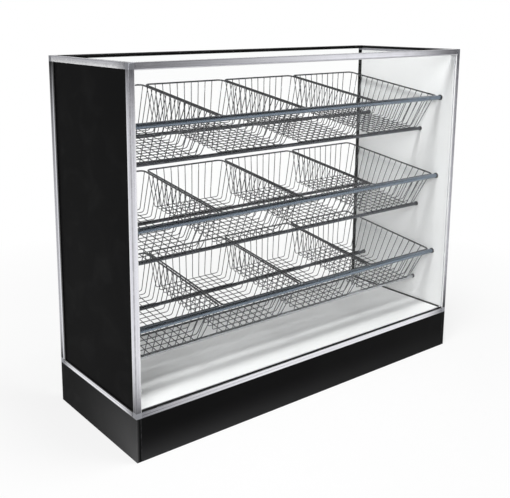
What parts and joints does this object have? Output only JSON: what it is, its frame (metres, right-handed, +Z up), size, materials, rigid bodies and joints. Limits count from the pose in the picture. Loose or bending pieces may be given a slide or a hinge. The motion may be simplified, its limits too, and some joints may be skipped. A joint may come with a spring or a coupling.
{
  "type": "display case",
  "caption": "Free-standing bakery display case: black plinth, aluminium frame with glass front and top, white interior and rows of tilted wire baskets that pull out at the open back.",
  "frame": {"origin": "on the floor, under the middle of the case and of the baskets that reach past its back", "axes": "+X along the width to the viewer's right, +Y from the glass front to the open back, +Z up"},
  "size_m": [1.473, 0.5496, 1.21],
  "materials": {
    "black_laminate": "satin black laminate on board",
    "bare_timber": "sawn softwood",
    "white_laminate": "white melamine on board",
    "satin_aluminium": "satin anodised extrusion",
    "corner_casting": "fine cast, satin",
    "black_frame": "black anodised extrusion",
    "black_gasket": "matt vinyl",
    "clear_glass": "clear float glass",
    "rail_chrome": "polished",
    "support_chrome": "polished",
    "socket_plastic": "matt",
    "screw_steel": "zinc plated",
    "basket_wire": "bright plated wire"
  },
  "bodies": {
    "case": {"bottom_rail_front": "satin_aluminium", "bottom_rail_left": "satin_aluminium", "bottom_rail_right": "satin_aluminium", "deck": "white_laminate", "deck_seals": "black_gasket", "end_liner_left": "white_laminate", "end_liner_right": "white_laminate", "end_panel_left": "black_laminate", "end_panel_right": "black_laminate", "front_corner_blocks": "corner_casting", "front_gasket": "black_gasket", "front_glass": "clear_glass", "front_post_left": "satin_aluminium", "front_post_right": "satin_aluminium", "front_rail_bottom": "rail_chrome", "front_rail_middle": "rail_chrome", "front_rail_sockets": "socket_plastic", "front_rail_top": "rail_chrome", "front_support_bottom": "support_chrome", "front_support_middle": "support_chrome", "front_support_top": "support_chrome", "plinth_battens": "bare_timber", "plinth_braces": "bare_timber", "plinth_front": "black_laminate", "plinth_glue_blocks": "bare_timber", "plinth_left": "black_laminate", "plinth_rear": "black_laminate", "plinth_right": "black_laminate", "rear_corner_blocks": "black_frame", "rear_header": "black_frame", "rear_post_left": "black_frame", "rear_post_right": "black_frame", "rear_sill": "black_frame", "rear_support_bottom": "support_chrome", "rear_support_middle": "support_chrome", "rear_support_top": "support_chrome", "rear_trim_left": "satin_aluminium", "rear_trim_right": "satin_aluminium", "socket_screws": "screw_steel", "support_sockets": "socket_plastic", "top_gasket": "black_gasket", "top_glass": "clear_glass", "top_rail_front": "satin_aluminium", "top_rail_left": "satin_aluminium", "top_rail_right": "satin_aluminium"},
    "basket_bottom_1": {"basket_bottom_1": "basket_wire"},
    "basket_bottom_2": {"basket_bottom_2": "basket_wire"},
    "basket_bottom_3": {"basket_bottom_3": "basket_wire"},
    "basket_bottom_4": {"basket_bottom_4": "basket_wire"},
    "basket_middle_1": {"basket_middle_1": "basket_wire"},
    "basket_middle_2": {"basket_middle_2": "basket_wire"},
    "basket_middle_3": {"basket_middle_3": "basket_wire"},
    "basket_middle_4": {"basket_middle_4": "basket_wire"},
    "basket_top_1": {"basket_top_1": "basket_wire"},
    "basket_top_2": {"basket_top_2": "basket_wire"},
    "basket_top_3": {"basket_top_3": "basket_wire"},
    "basket_top_4": {"basket_top_4": "basket_wire"}
  },
  "joints": [
    {"name": "basket_bottom_1_slide", "type": "slide", "parent": "case", "child": "basket_bottom_1", "axis": [0, 0.9898, 0.1426], "range_m": [0, 0.45]},
    {"name": "basket_bottom_2_slide", "type": "slide", "parent": "case", "child": "basket_bottom_2", "axis": [0, 0.9898, 0.1426], "range_m": [0, 0.45]},
    {"name": "basket_bottom_3_slide", "type": "slide", "parent": "case", "child": "basket_bottom_3", "axis": [0, 0.9898, 0.1426], "range_m": [0, 0.45]},
    {"name": "basket_bottom_4_slide", "type": "slide", "parent": "case", "child": "basket_bottom_4", "axis": [0, 0.9898, 0.1426], "range_m": [0, 0.45]},
    {"name": "basket_middle_1_slide", "type": "slide", "parent": "case", "child": "basket_middle_1", "axis": [0, 0.9898, 0.1426], "range_m": [0, 0.45]},
    {"name": "basket_middle_2_slide", "type": "slide", "parent": "case", "child": "basket_middle_2", "axis": [0, 0.9898, 0.1426], "range_m": [0, 0.45]},
    {"name": "basket_middle_3_slide", "type": "slide", "parent": "case", "child": "basket_middle_3", "axis": [0, 0.9898, 0.1426], "range_m": [0, 0.45]},
    {"name": "basket_middle_4_slide", "type": "slide", "parent": "case", "child": "basket_middle_4", "axis": [0, 0.9898, 0.1426], "range_m": [0, 0.45]},
    {"name": "basket_top_1_slide", "type": "slide", "parent": "case", "child": "basket_top_1", "axis": [0, 0.9898, 0.1426], "range_m": [0, 0.45]},
    {"name": "basket_top_2_slide", "type": "slide", "parent": "case", "child": "basket_top_2", "axis": [0, 0.9898, 0.1426], "range_m": [0, 0.45]},
    {"name": "basket_top_3_slide", "type": "slide", "parent": "case", "child": "basket_top_3", "axis": [0, 0.9898, 0.1426], "range_m": [0, 0.45]},
    {"name": "basket_top_4_slide", "type": "slide", "parent": "case", "child": "basket_top_4", "axis": [0, 0.9898, 0.1426], "range_m": [0, 0.45]}
  ]
}
